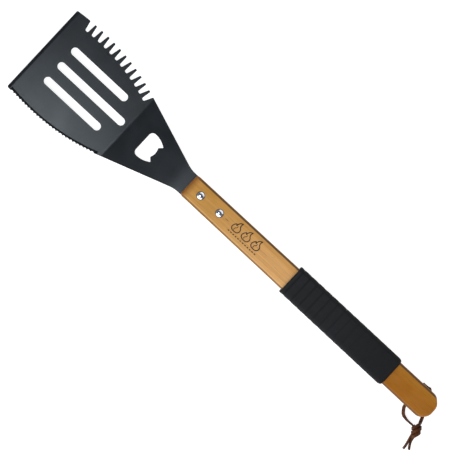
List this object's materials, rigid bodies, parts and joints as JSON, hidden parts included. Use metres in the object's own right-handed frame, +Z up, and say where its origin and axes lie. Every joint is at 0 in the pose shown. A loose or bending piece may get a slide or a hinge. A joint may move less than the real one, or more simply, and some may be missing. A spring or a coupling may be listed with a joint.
{
  "type": "grill spatula",
  "caption": "Long slotted grill turner: comb and serrated sides, opener hole in the neck, riveted wooden handle, grip sleeve and thong.",
  "frame": {"origin": "middle of the length and width of spatula without its thong, on the table it rests on", "axes": "+X from the blade's front edge to the butt, +Y to the comb side of the blade, +Z up from the table"},
  "size_m": [0.5436, 0.1072, 0.0252],
  "materials": {
    "coated_steel": "satin charcoal non-stick coating, ground dark along the edges",
    "handle_wood": "honey-brown hardwood, oiled, straight grain",
    "grip_rubber": "matte black soft grip with faint cross ribs",
    "rivet_metal": "bright domed rivet heads",
    "thong_leather": "dark reddish-brown flat leather lace"
  },
  "bodies": {
    "spatula": {"blade": "coated_steel", "handle": "handle_wood", "grip_sleeve": "grip_rubber", "front_rivet_1": "rivet_metal", "front_rivet_2": "rivet_metal", "back_rivet_1": "rivet_metal", "back_rivet_2": "rivet_metal"},
    "hang_loop": {"thong_loop": "thong_leather", "thong_knot": "thong_leather", "thong_tail_1": "thong_leather", "thong_tail_2": "thong_leather"}
  },
  "joints": [
    {"name": "loop_swing", "type": "hinge", "parent": "spatula", "child": "hang_loop", "pos_m": [0.24155, 0, 0.0126], "axis": [0, 1, 0], "range_deg": [0, 75]}
  ]
}
